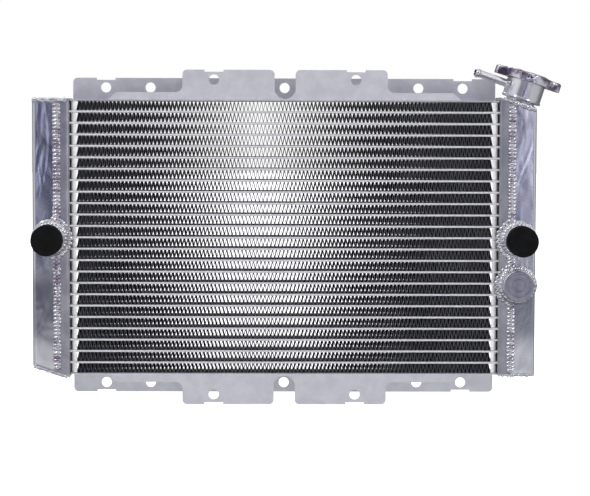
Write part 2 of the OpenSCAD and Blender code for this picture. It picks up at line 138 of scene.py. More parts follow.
def smooth_flat(piece, angle=35):
    """Smooth shading that leaves the large faces between rounded edges flat."""
    smooth(piece, angle)
    modify(piece, "WEIGHTED_NORMAL", keep_sharp=True)


def round_edges(piece, width, segments=2, angle=32):
    modify(piece, "BEVEL", width=width, segments=segments, limit_method="ANGLE",
           angle_limit=math.radians(angle), use_clamp_overlap=True)


def move(piece, matrix):
    """Puts a finished piece in its place by moving its mesh."""
    piece.data.transform(matrix)
    piece.data.update()


def copy_of(piece, name):
    twin = bpy.data.objects.new(name, piece.data.copy())
    scene.collection.objects.link(twin)
    return twin


def joined(name, pieces):
    deselect()
    for piece in pieces:
        piece.select_set(True)
    bpy.context.view_layer.objects.active = pieces[0]
    bpy.ops.object.join()
    pieces[0].name = name
    return pieces[0]


def softened(node, width, segments=2):
    """A copy of a CAD node with its sharp edges rounded, to stand in for it."""
    piece = copy_of(nodes[node], node + "_shape")
    piece.data.materials.clear()
    edit(piece)
    bpy.ops.mesh.remove_doubles(threshold=1e-6)
    bpy.ops.mesh.dissolve_limited(angle_limit=math.radians(0.5))
    leave_edit()
    round_edges(piece, width, segments)
    smooth_flat(piece)
    return piece


def uneven(piece, lump, depth):
    """Pushes a surface in and out by up to half of depth, in lumps about this wide."""
    texture = bpy.data.textures.new(piece.name + "_lumps", "CLOUDS")
    texture.noise_scale = lump
    texture.noise_depth = 1
    modify(piece, "DISPLACE", texture=texture, strength=depth, mid_level=0.5)


def outline(name, points):
    """A line of vertices through points in millimetres, in the XZ plane."""
    deselect()
    places = [Vector((x * MM, 0, z * MM)) for x, z in points]
    bpy.ops.mesh.primitive_plane_add(size=MM, location=places[0])
    piece = bpy.context.object
    piece.name = name
    apply_place(piece)
    edit(piece)
    bpy.ops.mesh.merge(type="CENTER")
    for here, there in zip(places, places[1:]):
        bpy.ops.mesh.extrude_region_move(TRANSFORM_OT_translate={"value": there - here})
    leave_edit()
    return piece


def turned(name, points, steps=72, edge=0.25, segments=2):
    """A closed (radius, height) outline in millimetres, spun round Z, with its edges rounded."""
    piece = outline(name, points)
    edit(piece)
    bpy.ops.mesh.spin(steps=steps, angle=2 * math.pi, center=(0, 0, 0), axis=(0, 0, 1))
    bpy.ops.mesh.select_all(action="SELECT")
    bpy.ops.mesh.remove_doubles(threshold=1e-6)
    bpy.ops.mesh.normals_make_consistent(inside=False)
    leave_edit()
    if edge:
        round_edges(piece, edge * MM, segments)
    smooth_flat(piece)
    return piece


def finish_piece(piece, body, material, slot, *replaced):
    """Gives a piece its material and body, and hides the CAD nodes it stands for. The record slot
    is not used.
    """
    piece.data.materials.clear()
    piece.data.materials.append(material)
    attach(piece, body)
    if replaced:
        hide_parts(*replaced)
    return piece


def filler_place():
    """The filler neck's foot, with Z along its axis."""
    turn = next(j for j in frame["record"]["behaviour"]["joints"] if j["name"] == "cap_turn")
    tilt = math.atan2(turn["axis"][0], turn["axis"][2])
    return Matrix.Translation(turn["pos_m"]) @ Matrix.Rotation(tilt, 4, "Y")


# ---------------------------------------------------------------- shader maths

class Value:
    """A socket of a node tree. Arithmetic on it adds Math nodes."""

    def __init__(self, recipe, socket):
        self.recipe = recipe
        self.socket = socket

    def math(self, operation, *others):
        return self.recipe.node("ShaderNodeMath", {"operation": operation}, [self, *others])

    def __add__(self, other):
        return self.math("ADD", other)

    def __sub__(self, other):
        return self.math("SUBTRACT", other)

    def __mul__(self, other):
        return self.math("MULTIPLY", other)

    def __truediv__(self, other):
        return self.math("DIVIDE", other)

    __radd__ = __add__

    def step(self, low, high):
        """0 at low, 1 at high, smooth between and level outside."""
        return self.recipe.node("ShaderNodeMapRange", {"interpolation_type": "SMOOTHSTEP"},
                                [self, low, high, 0.0, 1.0])


class Recipe:
    """A node tree, and the ways that its values are made."""

    def __init__(self, tree):
        self.tree = tree

    def node(self, kind, settings, inputs, output=0):
        """Any node: its settings, then its inputs as values or links, by order or by name."""
        node = self.tree.nodes.new(kind)
        for name, value in settings.items():
            setattr(node, name, value)
        pairs = inputs.items() if isinstance(inputs, dict) else enumerate(inputs)
        for key, value in pairs:
            self.put(value, node.inputs[key])
        return Value(self, node.outputs[output]) if output is not None else None

    def put(self, value, socket):
        if isinstance(value, Value):
            self.tree.links.new(value.socket, socket)
        elif value is not None:
            socket.default_value = value

    def mix(self, share, first, second):
        """First colour where share is 0, second where it is 1."""
        return self.node("ShaderNodeMix", {"data_type": "RGBA"},
                         {0: share, 6: first, 7: second}, 2)


class Finish(Recipe):
    """A material with one Principled shader."""

    def __init__(self, name):
        self.material = bpy.data.materials.new(name)
        self.material.use_nodes = True
        super().__init__(self.material.node_tree)
        self.shader = next(n for n in self.tree.nodes if n.type == "BSDF_PRINCIPLED")
        self.place = self.node("ShaderNodeTexCoord", {}, [], "Object")

    def set(self, **sockets):
        """Sets the shader's sockets, with _ in place of a space in their names."""
        for name, value in sockets.items():
            self.put(value, self.shader.inputs[name.replace("_", " ")])

    def scaled(self, size):
        """The piece's own coordinates, stretched by size."""
        return self.node("ShaderNodeMapping", {}, {"Vector": self.place, "Scale": size})

    def axis(self, letter):
        return self.node("ShaderNodeSeparateXYZ", {}, [self.place], letter)

    def noise(self, size, detail=3.0, rough=0.5, coords=None, twist=0.0):
        """Noise from 0 to 1 whose lumps are about 1/size metres, or 1/size of coords."""
        return self.node("ShaderNodeTexNoise", {}, {
            "Vector": coords or self.place, "Scale": size, "Detail": detail,
            "Roughness": rough, "Distortion": twist})

    def bump(self, height, depth, strength=1.0, normal=None):
        """A normal from a height of 0 to 1, as deep as depth in metres."""
        return self.node("ShaderNodeBump", {}, {"Height": height, "Strength": strength,
                                                "Distance": depth, "Normal": normal})


def grey(value, warmth=0.0):
    """A grey colour, a little blue when warmth is negative."""
    return (value * (1 + warmth), value, value * (1 - warmth), 1.0)


# ---------------------------------------------------------------- materials

def polished_tank_metal(side):
    """Polished sheet with one slight bend along a wavy line, haze, a fine vertical brush and a
    band of painted dark reflection across its lower part.
    """
    f = Finish(f"polished_{side}_tank")
    x, z = f.axis("X"), f.axis("Z")
    if side == "left":
        crease = ((z - 0.085) * (2 * math.pi / 0.15)).math("COSINE") * 0.004 - 0.2105
        reach, rise, width = z.step(0.035, 0.06), 0.000036, 1.5
    else:
        crease = ((z - 0.0626) / 0.028).math("SINE") * 0.011 + 0.2098
        reach, rise, width = z.step(0.038, 0.05) * z.step(0.096, 0.084), -0.000042, 1.7
    across = (x - crease) * 1000 / width
    dish = across.step(-1.0, 1.0) * reach * rise
    haze = f.noise(1.0, 4.0, 0.55, f.scaled((60, 60, 24)))
    ripples = f.noise(1.0, 2.0, 0.5, f.scaled((55, 55, 28)), 0.5)
    brush = f.noise(1.0, 2.0, 0.6, f.scaled((2600, 2600, 60)))
    colour = f.mix(haze.step(0.35, 0.7), (0.80, 0.81, 0.88, 1), (0.90, 0.90, 0.94, 1))
    # Painted dark reflection: the base colour is darkened in a band across the lower part of the
    # face, standing in for a dark reflection in the polished sheet.
    painted_dark_reflection = z.step(-0.022, -0.045) * z.step(-0.100, -0.078)
    colour = f.mix(painted_dark_reflection, colour, (0.44, 0.45, 0.51, 1))
    slow = f.bump(ripples, 0.00028, 1.0, f.bump(dish, 1.0))
    fine = f.bump(brush, 0.000006, 0.5, slow)
    f.set(Base_Color=colour, Metallic=1.0, Roughness=0.08 + haze * 0.12, Normal=fine)
    return f.material


def rolled_sheet_metal():
    """Mill-finish sheet of the channels: satin, with grain along X and a little mottle."""
    f = Finish("rolled_channel_sheet")
    grain = f.noise(1.0, 3.0, 0.6, f.scaled((60, 1500, 1500)))
    mottle = f.noise(90.0, 4.0, 0.6)
    colour = f.mix(mottle.step(0.3, 0.75), (0.66, 0.66, 0.71, 1), (0.76, 0.76, 0.80, 1))
    f.set(Base_Color=colour, Metallic=0.7, Roughness=0.42 + mottle * 0.16,
          Normal=f.bump(grain, 0.00005, 0.5))
    return f.material


def header_metal():
    """Header plate: satin sheet with faint scratches along Z."""
    f = Finish("header_sheet")
    grain = f.noise(1.0, 3.0, 0.6, f.scaled((900, 900, 40)))
    blotch = f.noise(70.0, 3.0)
    colour = f.mix(blotch.step(0.35, 0.7), (0.44, 0.44, 0.50, 1), (0.58, 0.58, 0.62, 1))
    f.set(Base_Color=colour, Metallic=1.0, Roughness=0.28 + blotch * 0.14,
          Normal=f.bump(grain, 0.00006, 0.5))
    return f.material


def tube_metal():
    """Brazed tube: bright rolled edge with flecks of braze."""
    f = Finish("core_tube_metal")
    fleck = f.noise(420.0, 3.0, 0.6)
    colour = f.mix(fleck.step(0.4, 0.62), (0.80, 0.80, 0.84, 1), (0.93, 0.93, 0.95, 1))
    f.set(Base_Color=colour, Metallic=0.7, Roughness=0.34 + fleck * 0.2,
          Normal=f.bump(fleck, 0.0001, 0.5))
    return f.material


def fin_foil():
    """Thin foil with louvres cut across each fold, every 1.3 mm of depth."""
    f = Finish("fin_foil")
    louvre = (f.axis("Y") * (2 * math.pi / 0.0013)).math("SINE") * 0.5 + 0.5
    stain = f.noise(30.0, 3.0)
    colour = f.mix(stain.step(0.3, 0.7), (0.36, 0.36, 0.39, 1), (0.50, 0.50, 0.52, 1))
    f.set(Base_Color=colour, Metallic=0.9, Roughness=0.45 + stain * 0.1,
          Normal=f.bump(louvre, 0.0003, 0.8))
    return f.material


def foil_tail():
    """The pale, unfolded end of each foil."""
    f = Finish("foil_tail")
    dull = f.noise(160.0, 3.0)
    colour = f.mix(dull.step(0.3, 0.7), (0.80, 0.79, 0.77, 1), (0.92, 0.91, 0.90, 1))
    f.set(Base_Color=colour, Metallic=0.2, Roughness=0.5 + dull * 0.2)
    return f.material


def weld_metal(name, tint):
    """Weld bead: bright cast skin, very slightly rough, with a heat tint here and there."""
    f = Finish(name)
    skin = f.noise(900.0, 3.0, 0.6)
    heat = f.noise(140.0, 2.0)
    colour = f.mix(heat.step(0.42, 0.68), (0.84, 0.84, 0.88, 1), tint)
    f.set(Base_Color=colour, Metallic=1.0, Roughness=0.11 + skin * 0.16,
          Normal=f.bump(skin, 0.0002, 0.25))
    return f.material


def turned_metal(name, gloss):
    """Lathe-turned aluminium of the necks and boss, smoother where gloss is less."""
    f = Finish(name)
    mark = f.noise(60.0, 4.0, 0.6)
    fine = f.noise(1400.0, 2.0, 0.5)
    colour = f.mix(mark.step(0.35, 0.7), (0.80, 0.80, 0.85, 1), (0.90, 0.90, 0.93, 1))
    f.set(Base_Color=colour, Metallic=1.0, Roughness=gloss + mark * 0.14,
          Normal=f.bump(fine, 0.00003, 0.5, f.bump(mark, 0.00016, 0.6)))
    return f.material


def plated_steel():
    """Bright plating of the pressure cap, with a faint violet cast, fine hairlines and smears of
    painted dark violet reflection.
    """
    f = Finish("cap_plating")
    painted_reflection = f.noise(80.0, 3.0)
    dent = f.noise(170.0, 2.0, 0.5)
    # Painted reflection: noise smears turn the bright base colour nearly black-violet, standing in
    # for dark reflections in the chrome; the same smears raise the roughness a little.
    colour = f.mix(painted_reflection.step(0.42, 0.62), (0.88, 0.86, 0.92, 1), (0.20, 0.16, 0.24, 1))
    f.set(Base_Color=colour, Metallic=1.0, Roughness=0.05 + painted_reflection * 0.08,
          Normal=f.bump(dent, 0.0009, 0.7))
    return f.material


def soft_rubber():
    """Moulded black rubber with a dusty bloom."""
    f = Finish("black_rubber")
    bloom = f.noise(160.0, 4.0, 0.6)
    grain = f.noise(2200.0, 2.0)
    colour = f.mix(bloom.step(0.35, 0.8), grey(0.004), grey(0.008, -0.1))
    f.set(Base_Color=colour, Roughness=0.55 + bloom * 0.25, Normal=f.bump(grain, 0.00006, 0.5))
    f.set(Specular_IOR_Level=0.1)
    return f.material


def milky_plastic():
    """Soft see-through polyethylene of the plug."""
    f = Finish("grey_plug")
    cloud = f.noise(180.0, 3.0)
    colour = f.mix(cloud.step(0.3, 0.75), (0.15, 0.15, 0.20, 1), (0.21, 0.21, 0.27, 1))
    f.set(Base_Color=colour, Roughness=0.34 + cloud * 0.16,
          Normal=f.bump(f.noise(500.0, 2.0), 0.0001, 0.5))
    return f.material


def spring_steel():
    """Satin stainless steel of the parts inside the cap."""
    f = Finish("spring_steel")
    draw = f.noise(900.0, 3.0)
    colour = f.mix(draw.step(0.3, 0.7), grey(0.48, -0.02), grey(0.60, -0.02))
    f.set(Base_Color=colour, Metallic=1.0, Roughness=0.28 + draw * 0.16)
    return f.material


def valve_brass():
    f = Finish("valve_brass")
    tarnish = f.noise(260.0, 3.0)
    colour = f.mix(tarnish.step(0.4, 0.7), (0.78, 0.60, 0.27, 1), (0.62, 0.45, 0.20, 1))
    f.set(Base_Color=colour, Metallic=1.0, Roughness=0.24 + tarnish * 0.2)
    return f.material


finishes = {
    "left_tank": polished_tank_metal("left"),
    "right_tank": polished_tank_metal("right"),
    "sheet": rolled_sheet_metal(),
    "header": header_metal(),
    "tube": tube_metal(),
    "foil": fin_foil(),
    "weld": weld_metal("ring_weld", (0.60, 0.59, 0.63, 1)),
    "seam": weld_metal("seam_weld", (0.46, 0.38, 0.48, 1)),
    "turned": turned_metal("turned_aluminium", 0.2),
    "cup": turned_metal("polished_neck", 0.17),
    "tail": foil_tail(),
    "plating": plated_steel(),
    "rubber": soft_rubber(),
    "plug": milky_plastic(),
    "steel": spring_steel(),
    "brass": valve_brass(),
}


def keep(node, finish):
    """Shows a CAD node as it is, with a better material."""
    mesh = nodes[node].data
    mesh.materials.clear()
    mesh.materials.append(finishes[finish])


# ---------------------------------------------------------------- core

def fold_line(width, height, folds):
    """One row's zigzag in X and Z, with rounded crests."""
    sharpness = 0.985
    turns = [-90, -66, 0, 66]
    line = []
    for fold in range(folds):
        for half in (0, 1):
            for turn in turns:
                along = fold + half / 2 + (turn + 90) / 360
                wave = math.asin(sharpness * math.sin(math.radians(turn))) / math.asin(sharpness)
                line.append((along * width, (-1 if half else 1) * wave * height / 2))
    line.append((folds * width, -height / 2))
    return line


def fin_rows():
    """One row of folded foil, copied to each gap between tubes."""
    low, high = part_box("core_fins_lower")
    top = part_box("core_fins_upper")[1]
    tubes = sorted(name for name in nodes if name.startswith("tube_"))
    lowest, next_up = (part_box(name) for name in tubes[:2])
    pitch = next_up[0].z - lowest[0].z
    gap = pitch - (lowest[1].z - lowest[0].z)
    foil = 0.12 * MM
    folds = 107
    width = (high.x - low.x) / folds
    row = outline("fin_row", [(x / MM, z / MM) for x, z in fold_line(width, gap - 2 * foil, 1)])
    modify(row, "ARRAY", count=folds, use_relative_offset=False, use_constant_offset=True,
           constant_offset_displace=(width, 0, 0), use_merge_vertices=True, merge_threshold=1e-6)
    edit(row)
    waves, swing = 10, 0.34 * MM
    for wave in range(waves):
        step = (swing if wave % 2 else -swing, (high.y - low.y) / waves, 0)
        bpy.ops.mesh.extrude_region_move(TRANSFORM_OT_translate={"value": step})
    leave_edit()
    modify(row, "SOLIDIFY", thickness=foil, offset=0.0)
    smooth(row, 40)
    move(row, Matrix.Translation((low.x, low.y, 0)))
    rows = len(tubes) + 1
    for index in range(rows):
        piece = copy_of(row, f"fin_row_{index + 1:02d}")
        move(piece, Matrix.Translation((0, 0, lowest[0].z - gap / 2 + index * pitch)))
        node = "core_fins_lower" if index < rows // 2 else "core_fins_upper"
        finish_piece(piece, "radiator", finishes["foil"], "fin_foil", node)
    bpy.data.objects.remove(row)
    fin_tails(low, high, pitch, gap, rows, lowest[0].z)


def fin_tails(low, high, pitch, gap, rows, lowest_tube):
    """The straight ends of the foils, which curl back to the header plates."""
    for side, edge, word in ((-1, low.x, "left"), (1, high.x, "right")):
        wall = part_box(f"{word}_header_plate")[1 if side < 0 else 0].x
        reach = abs(edge - wall) / MM - 0.2
        curl = [(0, 0.4), (0.22, 0.5), (0.45, 1.0), (0.66, 2.2), (0.84, 4.6), (0.95, 8.5), (1, 14)]
        tail = outline(f"fin_tails_{word}", [(side * reach * x, y) for x, y in curl])
        move(tail, Matrix.Rotation(math.radians(-90), 4, "X"))
        edit(tail)
        bpy.ops.mesh.extrude_region_move(TRANSFORM_OT_translate={"value": (0, 0, gap - 0.2 * MM)})
        leave_edit()
        modify(tail, "SOLIDIFY", thickness=0.15 * MM, offset=0.0)
        modify(tail, "ARRAY", count=rows, use_relative_offset=False, use_constant_offset=True,
               constant_offset_displace=(0, 0, pitch))
        smooth(tail, 50)
        move(tail, Matrix.Translation((edge, low.y, lowest_tube - gap + 0.1 * MM)))
        finish_piece(tail, "radiator", finishes["tail"], "fin_foil", "core_fins_lower",
                     "core_fins_upper")


def core():
    fin_rows()
    for name in nodes:
        if name.startswith("tube_"):
            keep(name, "tube")


# ---------------------------------------------------------------- sheet metal

def sheet_parts():
    for side in ("top", "bottom"):
        piece = softened(f"{side}_side_channel", 0.3 * MM)
        finish_piece(piece, "radiator", finishes["sheet"], "channel_sheet", f"{side}_side_channel")
    for side in ("left", "right"):
        piece = softened(f"{side}_header_plate", 0.3 * MM)
        finish_piece(piece, "radiator", finishes["header"], "header_sheet", f"{side}_header_plate")
        piece = softened(f"{side}_tank", 0.4 * MM)
        finish_piece(piece, "radiator", finishes[f"{side}_tank"], "tank_sheet", f"{side}_tank")
        for end in ("top", "bottom"):
            node = f"{side}_{end}_end_plate"
            piece = softened(node, 0.7 * MM, 3)
            finish_piece(piece, "radiator", finishes[f"{side}_tank"], "tank_sheet", node)


# ---------------------------------------------------------------- weld beads

dice = random.Random(11)


def ripple():
    """One frozen puddle of weld: a dome 2 mm across, cut flat below."""
    deselect()
    bpy.ops.mesh.primitive_uv_sphere_add(segments=14, ring_count=8, radius=MM)
    dome = bpy.context.object
    dome.name = "ripple"
    edit(dome)
    bpy.ops.mesh.bisect(plane_co=(0, 0, -0.35 * MM), plane_no=(0, 0, 1), clear_inner=True)
    leave_edit()
    bpy.ops.object.shade_smooth()
    return dome


def run_of_ripples(name, frames, size, tilt, loose=0.12):
    """Overlapping ripples, one in each frame."""
    dome = ripple()
    puddles = []
    for spot in frames:
        wobble = [1 + dice.uniform(-loose, loose) for _ in range(3)]
        lean = Matrix.Rotation(math.radians(tilt + dice.uniform(-5, 5)), 4, "Y")
        yaw = Matrix.Rotation(math.radians(dice.uniform(-9, 9)), 4, "Z")
        grown = Matrix.Diagonal((*(a * b for a, b in zip(size, wobble)), 1))
        puddle = copy_of(dome, name)
        puddle.matrix_world = spot @ yaw @ lean @ grown
        apply_place(puddle)
        puddles.append(puddle)
    bpy.data.objects.remove(dome)
    return joined(name, puddles)


def line_frames(start, end, across, pitch):
    """Frames spaced along a line in millimetres: X along it, Y across it, Z out of the metal."""
    start, end, across = Vector(start) * MM, Vector(end) * MM, Vector(across)
    along = (end - start).normalized()
    out = along.cross(across).normalized()
    count = max(1, round((end - start).length / MM / pitch))
    turn = Matrix((along, out.cross(along), out)).transposed().to_4x4()
    return [Matrix.Translation(start.lerp(end, (i + 0.5) / count)) @ turn for i in range(count)]


def ring_frames(place, radius, lift, count, slope):
    """Frames round a neck whose axis is the place's Z: X away from it, Z out of the fillet."""
    lean = Matrix.Rotation(math.radians(slope), 4, "Y")
    out = Matrix.Translation((radius * MM, 0, lift * MM))
    return [place @ Matrix.Rotation(2 * math.pi * i / count, 4, "Z") @ out @ lean
            for i in range(count)]


def seam_stretches(word):
    """The parts of a front seam, in height, that the rings round the neck and boss leave free."""
    overlap = 1.5
    low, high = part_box(f"{word}_tank")
    rings = [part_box(f"{word}_hose_neck_weld")]
    if word == "right":
        rings.append(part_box("fan_switch_boss_weld"))
    stretches, start = [], low.z / MM + overlap
    for lower, upper in sorted((ring[0].z / MM, ring[1].z / MM) for ring in rings):
        if lower > start:
            stretches.append((start, lower + overlap))
        start = max(start, upper - overlap)
    stretches.append((start, high.z / MM - overlap))
    return stretches


def tank_seams():
    """Rippled beads down both sides of each tank, and lumpy ones round its ends."""
    for side, word in ((-1, "left"), (1, "right")):
        low, high = (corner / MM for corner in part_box(f"{word}_tank"))
        seam = side * SEAM_X
        frames = []
        for start, end in seam_stretches(word):
            frames += line_frames((seam, low.y, end), (seam, low.y, start), (1, 0, 0), SEAM_PITCH)
        frames += line_frames((seam, high.y, low.z + 2), (seam, high.y, high.z - 2), (1, 0, 0),
                              SEAM_PITCH)
        bead = run_of_ripples(f"{word}_seam_beads", frames, (2.6, 3.9, 1.7), -30)
        finish_piece(bead, "radiator", finishes["seam"], "weld", f"{word}_tank_welds")
        end_lumps(side, word)


def end_lumps(side, word):
    """Rough beads where the end plates meet the tank's faces."""
    slant = math.tan(math.radians(SLANT))
    front, rear = (corner.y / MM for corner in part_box(f"{word}_tank"))
    inner, outer = 191.0, 219.5     # the beads' ends, from the middle
    beads = []
    for end, sign, size in (("top", 1, (2.0, 2.1, 1.1)), ("bottom", -1, (1.9, 1.1, 0.6))):
        slanted = (side > 0) == (sign > 0)
        plate = [corner.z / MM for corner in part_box(f"{word}_{end}_end_plate")]
        level = (plate[1] if sign > 0 else plate[0]) - sign * size[1] * 0.8
        drop = sign * slant * (outer - inner) if slanted else 0
        frames = []
        for y, out in ((front - 0.1, 1), (rear + 0.1, -1)):
            across = (0, 0, out * side)
            frames += line_frames((side * inner, y, level), (side * outer, y, level - drop),
                                  across, 2.3)
        beads.append(run_of_ripples(f"{word}_{end}_beads", frames, size, 10, 0.3))
    bead = joined(f"{word}_end_beads", beads)
    uneven(bead, 3 * MM, 0.6 * MM)
    finish_piece(bead, "radiator", finishes["weld"], "weld", f"{word}_tank_welds")


def ring_weld(node, place, inner, height, width, count, loose, core_side=0):
    """A fillet of ripples round a neck along the place's Z, wider on the core's side."""
    fillet = turned(node + "_fillet", [
        (inner, -0.5), (inner + width, -0.5), (inner + width, 0.2), (inner + width * 0.75, 0.7),
        (inner + width * 0.4, height * 0.5), (inner + width * 0.15, height * 0.85),
        (inner, height), (inner, -0.5)], 72, 0)
    move(fillet, place)
    frames = ring_frames(place, inner + width * 0.5, height * 0.42, count, 30)
    puddles = run_of_ripples(node + "_ripples", frames, (width * 0.62, 2.1, 0.9), 8, loose)
    parts = [fillet, puddles]
    if core_side:
        centre = place.translation
        outer = [spot for spot in ring_frames(place, inner + width + 0.8, 0.1, count, 6)
                 if (spot.translation - centre).x * core_side > 0.2 * inner * MM]
        parts.append(run_of_ripples(node + "_skirt", outer, (2.6, 2.3, 0.8), 6, loose))
    weld = joined(node + "_bead", parts)
    finish_piece(weld, "radiator", finishes["weld"], "weld", node)


def ring_welds():
    """Fillets round the hose necks, the fan-switch boss and the filler neck's foot."""
    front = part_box("left_tank")[0].y
    to_front = Matrix.Rotation(math.radians(90), 4, "X")
    for node, x, inner, height, width in (
            ("left_hose_neck_weld", -NECK_X, 12.3, 3.0, 4.4),
            ("right_hose_neck_weld", NECK_X, 12.3, 3.0, 4.4),
            ("fan_switch_boss_weld", BOSS_X, 13.9, 2.6, 3.4)):
        low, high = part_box(node)
        place = Matrix.Translation((x * MM, front, (low.z + high.z) / 2)) @ to_front
        ring_weld(node, place, inner, height, width, 27, 0.2, -math.copysign(1, x))
    ring_weld("filler_neck_weld", filler_place(), 12.4, 2.6, 3.6, 22, 0.35)


# ---------------------------------------------------------------- necks, boss and their covers

def along_neck(piece, centre_x, y, z):
    """Stands a turned piece's axis along the neck: its +Z to the front, its foot at y."""
    piece.matrix_world = Matrix.Translation(Vector((centre_x, y, z))) \
        @ Matrix.Rotation(math.radians(90), 4, "X")
    apply_place(piece)


def hose_necks():
    for side, word in ((-1, "left"), (1, "right")):
        low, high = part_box(f"{word}_hose_neck")
        x, z = (low.x + high.x) / 2, (low.z + high.z) / 2
        reach = (high.y - low.y) / MM
        neck = turned(f"{word}_hose_neck_tube", [
            (11, 0), (12.2, 0), (12.2, 5.5), (12.5, 5.7), (12.5, reach - 12.2), (12.3, reach - 12),
            (12.3, reach - 0.5), (11.9, reach), (11, reach), (11, 0)], 72, 0.2)
        along_neck(neck, x, high.y, z)
        finish_piece(neck, "radiator", finishes["turned"], "turned_aluminium", f"{word}_hose_neck")
        low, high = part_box(f"{word}_hose_cap")
        length = (high.y - low.y) / MM
        radius = (high.x - low.x) / 2 / MM
        cap = turned(f"{word}_hose_cap_cup", [
            (12.8, 0), (radius - 0.3, 0), (radius, 0.4), (radius, 1.6), (radius - 0.25, 2.1),
            (radius - 0.25, length - 2), (radius - 0.8, length - 0.75),
            (radius - 2, length - 0.15), (radius - 3.2, length), (radius - 3.7, length - 0.35),
            (radius - 4.3, length - 0.4),
            (0, length - 0.25), (0, length - 2.5), (12.8, length - 2.5), (12.8, 0)], 72, 0.12)
        along_neck(cap, x, high.y, z)
        finish_piece(cap, f"{word}_cap", finishes["rubber"], "black_rubber", f"{word}_hose_cap")


def fan_switch_port():
    low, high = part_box("fan_switch_boss")
    x, z = (low.x + high.x) / 2, (low.z + high.z) / 2
    top = (high.y - low.y) / MM
    boss = turned("fan_switch_boss_ring", [
        (8.25, 3.5), (9.25, 0), (13.75, 0), (13.75, top - 0.8), (12.95, top), (10.5, top),
        (10.5, top - 4), (8.25, top - 4), (8.25, 3.5)], 72, 0.2)
    along_neck(boss, x, high.y, z)
    finish_piece(boss, "radiator", finishes["turned"], "turned_aluminium", "fan_switch_boss")
    low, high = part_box("fan_switch_plug")
    foot = low.y + 2 * MM
    disc = turned("plug_disc", [
        (0, -0.6), (9.2, -0.6), (9.2, -3.4), (10.3, -3.4), (10.3, 0), (12.9, 0), (13, 0.5),
        (12.6, 1.3), (11.6, 1.55), (10.9, 1.5), (10.5, 1.95), (9.9, 1.95), (9.5, 1.4), (6.6, 1.2),
        (6, 1.35), (5.6, 1.85), (5.1, 1.85), (4.7, 1.2), (2.6, 0.9), (1.2, 1.3), (0, 1.35),
        (0, -0.6)], 72, 0)
    along_neck(disc, x, foot, z)
    deselect()
    bpy.ops.mesh.primitive_cylinder_add(vertices=3, radius=8.4 * MM, depth=1.1 * MM,
                                        rotation=(0, 0, -math.pi / 2))
    tab = bpy.context.object
    apply_place(tab)
    round_edges(tab, 0.6 * MM, 3, 50)
    tip = max(vertex.co.x for vertex in tab.data.vertices)
    move(tab, Matrix.Translation((16.3 * MM - tip, 0, 0.7 * MM)))
    smooth(tab)
    along_neck(tab, x, foot, z)
    plug = joined("fan_switch_plug_cover", [disc, tab])
    finish_piece(plug, "plug", finishes["plug"], "grey_plug", "fan_switch_plug")


# ---------------------------------------------------------------- filler neck and its cap

def filler():
    """The cup with its rolled foot, and the overflow nipple with its bead and flared root."""
    nipple_height, nipple_turn = 14, 200
    place = filler_place()
    cup = turned("filler_neck_cup", [
        (10.5, -4), (12.5, -4), (12.5, 3.2), (13.2, 4), (16.5, 4), (17.3, 4.25), (17.65, 4.9),
        (17.5, 5.6), (17.1, 5.95), (17, 6.5), (17, 22.6), (17.3, 23.6), (18.2, 24), (18.9, 23.6),
        (19, 22.4), (20.5, 22.4), (20.5, 24.6), (20, 25.3), (19.3, 25.5), (16, 25.5),
        (15.25, 24.9), (15.25, 5.8), (12.2, 5.8), (12.2, 10), (10.5, 10), (10.5, -4)], 96, 0.12)
    move(cup, place)
    finish_piece(cup, "radiator", finishes["cup"], "turned_aluminium", "filler_neck")
    nipple = turned("overflow_nipple_tube", [
        (2.2, 15), (3, 15), (3, 16.6), (4.7, 16.7), (5, 17.4), (4.3, 18.5), (3.6, 19.6),
        (3.4, 21), (3.4, 46), (3.55, 46.8), (4.1, 47.5), (4.25, 48.3), (4.1, 49.1), (3.5, 49.8),
        (3, 50.5), (2.5, 50.7), (2.2, 50.4), (2.2, 15)], 48, 0)
    out = Matrix.Translation((0, 0, nipple_height * MM)) \
        @ Matrix.Rotation(math.radians(nipple_turn), 4, "Z") \
        @ Matrix.Rotation(math.radians(90), 4, "Y")
    move(nipple, place @ out)
    finish_piece(nipple, "radiator", finishes["cup"], "turned_aluminium", "overflow_nipple")


def cap_ear():
    """One pressed ear: a rounded, tapering hood, open below and towards the shell."""
    deselect()
    middle = (25 * MM, 0, (CAP_TOP - EAR_DROP / 2) * MM)
    bpy.ops.mesh.primitive_cube_add(size=MM, location=middle)
    ear = bpy.context.object
    bpy.ops.transform.resize(value=(9.5, 15.6, EAR_DROP))
    apply_place(ear)
    edit(ear)
    pick(ear, "VERT", lambda co, normal: co.x > 27 * MM)
    bpy.ops.transform.resize(value=(1, 0.66, 1), center_override=(0, 0, 0))
    pick(ear, "FACE", lambda centre, normal: normal.x < -0.9 or normal.z < -0.9)
    bpy.ops.mesh.delete(type="FACE")
    leave_edit()
    round_edges(ear, 2.1 * MM, 4)
    modify(ear, "SOLIDIFY", thickness=MM, offset=-1.0)
    round_edges(ear, 0.2 * MM, 2, 50)
    smooth_flat(ear, 40)
    return ear


def lump(name, centre, size, turn):
    """A small pressed lump: a cube rounded by subdivision, centred at (radius, 0, height)."""
    deselect()
    bpy.ops.mesh.primitive_cube_add(size=MM)
    piece = bpy.context.object
    piece.name = name
    bpy.ops.transform.resize(value=size)
    apply_place(piece)
    modify(piece, "BEVEL", width=min(size) * 0.3 * MM, segments=1, limit_method="NONE")
    modify(piece, "SUBSURF", levels=2, render_levels=2)
    smooth(piece, 60)
    move(piece, Matrix.Rotation(math.radians(turn), 4, "Z")
         @ Matrix.Translation(Vector(centre) * MM))
    return piece


